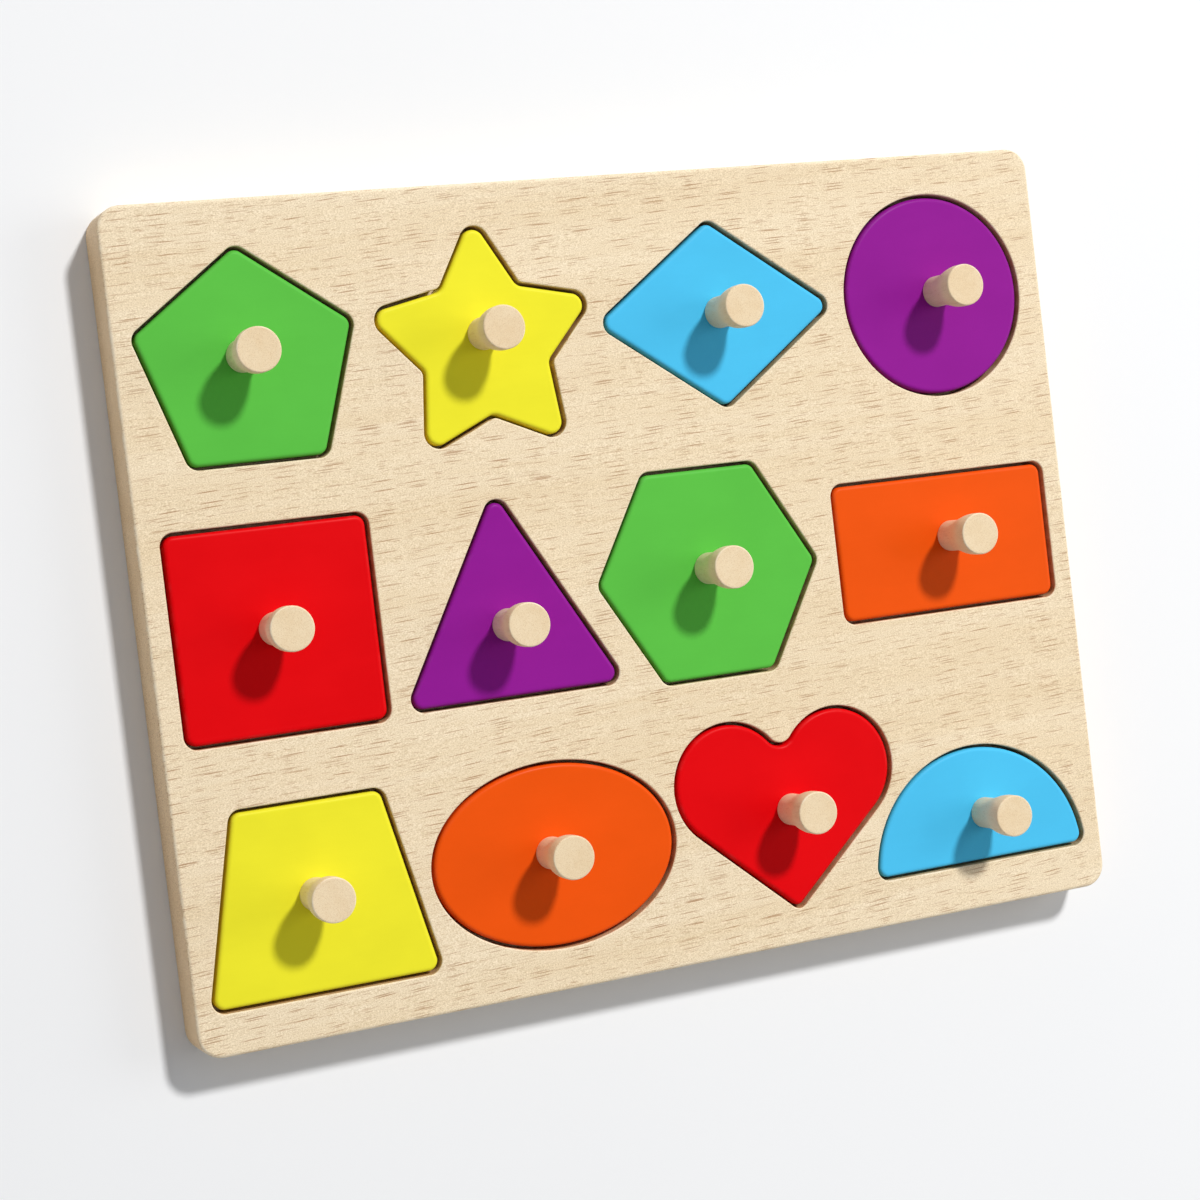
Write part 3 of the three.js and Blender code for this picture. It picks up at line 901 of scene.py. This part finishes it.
def beech_finish(name, tones, fleck_strength, stipple, turn, end_axis):
    """Sanded beech in its pale, deep, fleck, rubbed and end tones; the rubbed tone lightens the edges as
    wear and painted highlight.

    turn lays the grain along the piece, and faces across end_axis show the end grain's tone.
    """
    pale, deep, fleck, rubbed, end = tones
    material, tree, shader, coords = new_finish(name)
    along = put(tree, "ShaderNodeMapping", {"Vector": coords, "Rotation": turn}).outputs["Vector"]
    grain = place(tree, BEECH, {
        "Vector": along, "Pale": linear(pale), "Deep": linear(deep), "Fleck": linear(fleck),
        "Fleck Strength": fleck_strength, "Stipple": stipple,
    })
    facing = put(tree, "ShaderNodeTexCoord").outputs["Normal"]
    parts = put(tree, "ShaderNodeSeparateXYZ", {0: facing}).outputs
    cut = ranged(tree, maths(tree, "ABSOLUTE", parts[end_axis]), *END_STRETCH)
    wall = ranged(tree, maths(tree, "ABSOLUTE", parts["Z"]), *WALL_STRETCH, 1.0, 0.0)
    color = mixed(tree, cut, grain["Color"], end, "MULTIPLY")
    # The pockets' painted shade and the cutter's ridges
    marks = place(tree, POCKET_MARKS_AND_SHADE, {"Vector": coords, "Routed": own_value(tree, "routed"), "Wall": wall})
    color = mixed(tree, 1.0, color, marks["Pocket Shade"], "MULTIPLY")
    # Edges lightened by the rubbed tone: wear and a painted highlight
    edge_mask = place(tree, WEAR_AND_HIGHLIGHT, {"Vector": coords, "Edge": own_value(tree, "edge")})
    share = maths(tree, "MULTIPLY", edge_mask["Mask"], RUBBED_WOOD_HIGHLIGHT)
    color = mixed(tree, share, color, linear(rubbed))
    height = maths(tree, "ADD", grain["Height"], marks["Height"])
    feed(tree, shader, {
        "Base Color": color,
        "Roughness": grain["Roughness"],
        "Specular IOR Level": WOOD_SHEEN,
        "Normal": bumped(tree, height, WOOD_RELIEF),
    })
    return material


def paint_finish(name, screen):
    """Satin paint on wood, a little thinner along the rubbed edges."""
    material, tree, shader, coords = new_finish(name)
    tone = np.array(linear(screen)[:3])
    thick = (*(tone * (1 - PAINT_SPREAD)).tolist(), 1.0)
    thin = (*np.minimum(tone * (1 + PAINT_SPREAD), 1.0).tolist(), 1.0)
    pale = (*(tone * RUBBED_PAINT_KEPT + RUBBED_PAINT_LIFT).tolist(), 1.0)
    film = place(tree, PAINT, {"Vector": coords, "Thick": thick, "Thin": thin})
    edge_mask = place(tree, WEAR_AND_HIGHLIGHT, {"Vector": coords, "Edge": own_value(tree, "edge")})
    share = maths(tree, "MULTIPLY", edge_mask["Mask"], RUBBED_PAINT)
    feed(tree, shader, {
        "Base Color": mixed(tree, share, film["Color"], pale),
        "Roughness": film["Roughness"],
        "Specular IOR Level": PAINT_SHEEN,
        "Normal": bumped(tree, film["Height"], PAINT_RELIEF),
    })
    return material


board_tones = (BEECH_PALE, BEECH_DEEP, BEECH_FLECK, BEECH_RUBBED_HIGHLIGHT, BEECH_END)
peg_tones = (PEG_PALE, PEG_DEEP, PEG_FLECK, PEG_RUBBED_HIGHLIGHT, PEG_END)
along_board = (0.0, 0.0, -math.radians(GRAIN_SLANT))
along_peg = (0.0, math.pi / 2, 0.0)
board_beech = beech_finish("sanded_beech", board_tones, BOARD_FLECKS, BOARD_STIPPLE, along_board, "X")
peg_beech = beech_finish("turned_beech", peg_tones, PEG_FLECKS, PEG_STIPPLE, along_peg, "Z")
paints = {name: paint_finish(name + "_paint", screen) for name, screen in PAINTS.items()}

# Pieces on their bodies

board = board_piece(board_beech)
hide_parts("board")
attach(board, "board")
for shape, paint in BLOCK_PAINT.items():
    block = block_piece(shape, paints[paint])
    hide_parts(shape + "_block")
    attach(block, shape + "_piece")
    peg = peg_piece(shape, peg_beech)
    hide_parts(shape + "_peg")
    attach(peg, shape + "_piece")


# Floor, light and camera


def background_rays(tree):
    """1 for the rays that show a background: the camera's own, glossy ones and those through glass."""
    path = tree.nodes.new("ShaderNodeLightPath").outputs
    seen = maths(tree, "MAXIMUM", path["Is Camera Ray"], path["Is Glossy Ray"])
    return maths(tree, "MAXIMUM", seen, path["Is Transmission Ray"])


def make_floor():
    """A level sheet under the board, which background rays see fade to plain white well away from it."""
    reach = FLOOR_REACH
    corners = [(-reach, -reach, 0), (reach, -reach, 0), (reach, reach, 0), (-reach, reach, 0)]
    mesh = bpy.data.meshes.new("floor")
    mesh.from_pydata(corners, [], [(0, 1, 2, 3)])
    material, tree, shader, coords = new_finish("pale_floor")
    feed(tree, shader, {
        "Base Color": mixed(tree, stretched_noise(tree, coords, FLOOR_CLOUDS), FLOOR_DIM, FLOOR_PALE),
        "Roughness": FLOOR_ROUGHNESS,
        "Specular IOR Level": FLOOR_SHEEN,
    })
    away = put(tree, "ShaderNodeVectorMath", {0: coords}, operation="LENGTH").outputs["Value"]
    fade = maths(tree, "MULTIPLY", ranged(tree, away, *FLOOR_FADE), background_rays(tree))
    glow = put(tree, "ShaderNodeEmission", {"Color": WHITE, "Strength": 1.0})
    both = put(tree, "ShaderNodeMixShader", {0: fade, 1: shader.outputs[0], 2: glow.outputs[0]})
    feed(tree, tree.nodes["Material Output"], {"Surface": both.outputs[0]})
    mesh.materials.append(material)
    floor = bpy.data.objects.new("floor", mesh)
    bpy.context.scene.collection.objects.link(floor)


def make_lamp(name, place, width, power):
    """A round lamp that faces the board's middle."""
    lamp = bpy.data.lights.new(name, "AREA")
    lamp.shape = "DISK"
    lamp.size = width
    lamp.energy = power
    lamp.color = LAMP_TINT
    holder = bpy.data.objects.new(name, lamp)
    holder.location = place
    holder.rotation_euler = Vector(place).to_track_quat("Z", "Y").to_euler()
    bpy.context.scene.collection.objects.link(holder)


def light_scene():
    """A far lamp from the upper right, a weak wide one on the right, and an even sky.

    Background rays see the sky as plain white.
    """
    far_place = Vector(LAMP_DIRECTION).normalized() * LAMP_DISTANCE
    make_lamp("lamp", far_place, LAMP_WIDTH, LAMP_POWER)
    make_lamp("side_lamp", SIDE_LAMP_PLACE, SIDE_LAMP_WIDTH, SIDE_LAMP_POWER)
    world = bpy.data.worlds.new("studio")
    bpy.context.scene.world = world
    world.use_nodes = True
    tree = world.node_tree
    tree.nodes.clear()
    seen = background_rays(tree)
    fill = put(tree, "ShaderNodeBackground", {"Color": SKY_TINT, "Strength": SKY_STRENGTH})
    white = put(tree, "ShaderNodeBackground", {"Color": WHITE, "Strength": 1.0})
    both = put(tree, "ShaderNodeMixShader", {0: seen, 1: fill.outputs[0], 2: white.outputs[0]})
    put(tree, "ShaderNodeOutputWorld", {"Surface": both.outputs[0]})


def set_camera():
    """The camera at the photograph's angle, with its axes as the columns of its turn."""
    right, up = Vector(CAMERA_RIGHT), Vector(CAMERA_UP)
    back = right.cross(up)
    turn = Matrix((right, up, back)).transposed().to_4x4()
    lens = bpy.data.cameras.new("camera")
    lens.sensor_width = CAMERA_SENSOR
    lens.lens = CAMERA_LENS
    lens.clip_start = CAMERA_NEAR
    lens.clip_end = CAMERA_FAR
    camera = bpy.data.objects.new("camera", lens)
    camera.matrix_world = Matrix.Translation(CAMERA_PLACE) @ turn
    bpy.context.scene.collection.objects.link(camera)
    bpy.context.scene.camera = camera


make_floor()
light_scene()
set_camera()
bpy.context.scene.view_settings.view_transform = "Standard"
